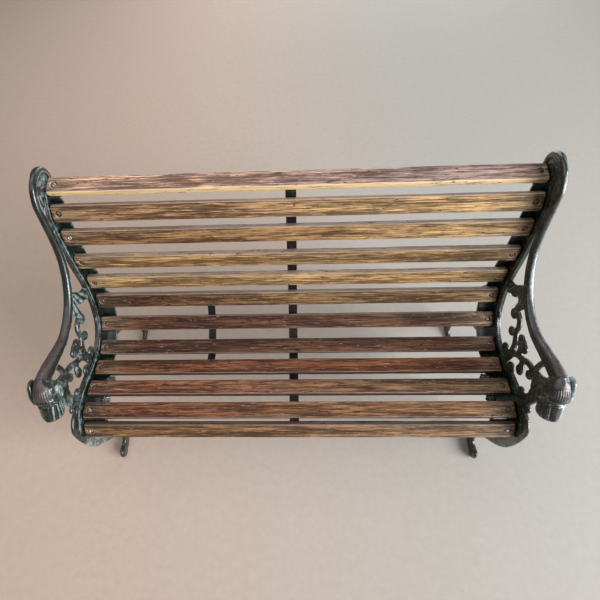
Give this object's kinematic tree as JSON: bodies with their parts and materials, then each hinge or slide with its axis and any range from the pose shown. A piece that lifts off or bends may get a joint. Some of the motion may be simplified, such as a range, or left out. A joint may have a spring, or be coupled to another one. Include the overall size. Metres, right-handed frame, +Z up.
{
  "type": "garden bench",
  "caption": "Slatted wooden bench on ornate cast-iron ends with openwork arms, hound-head terminals and paw feet, for sitting outdoors.",
  "frame": {"origin": "on the floor, under the middle of the bench's length and depth", "axes": "+X along the slats, +Y from the front of the seat to the back, +Z up"},
  "size_m": [1.304, 0.582, 0.8672],
  "materials": {
    "casting_iron": "old dark green gloss paint over iron, worn purple-brown on the top of the rails, with blue-green bloom on the openwork",
    "back_slat_wood": "weathered golden-brown hardwood with silvered upper edges",
    "seat_slat_wood": "weathered dark reddish-brown hardwood with worn edges",
    "top_slat_wood": "weathered grey-brown hardwood with a bare yellow front edge",
    "strap_iron": "flat iron bar with thin worn dark paint",
    "rusty_steel": "dull rusted steel"
  },
  "bodies": {
    "root": {"left_end_frame": "casting_iron", "right_end_frame": "casting_iron", "slat_01_top": "top_slat_wood", "slat_02_back": "back_slat_wood", "slat_03_back": "back_slat_wood", "slat_04_back": "back_slat_wood", "slat_05_back": "back_slat_wood", "slat_06_back": "back_slat_wood", "slat_07_seat": "seat_slat_wood", "slat_08_seat": "seat_slat_wood", "slat_09_seat": "seat_slat_wood", "slat_10_seat": "seat_slat_wood", "slat_11_seat": "seat_slat_wood", "slat_12_front": "seat_slat_wood", "centre_strap": "strap_iron", "repair_strap": "strap_iron", "left_slat_bolts": "rusty_steel", "left_bolt_washers": "rusty_steel", "left_bolt_nuts": "rusty_steel", "right_slat_bolts": "rusty_steel", "right_bolt_washers": "rusty_steel", "right_bolt_nuts": "rusty_steel", "centre_strap_screws": "rusty_steel", "repair_strap_screws": "rusty_steel"}
  },
  "joints": []
}
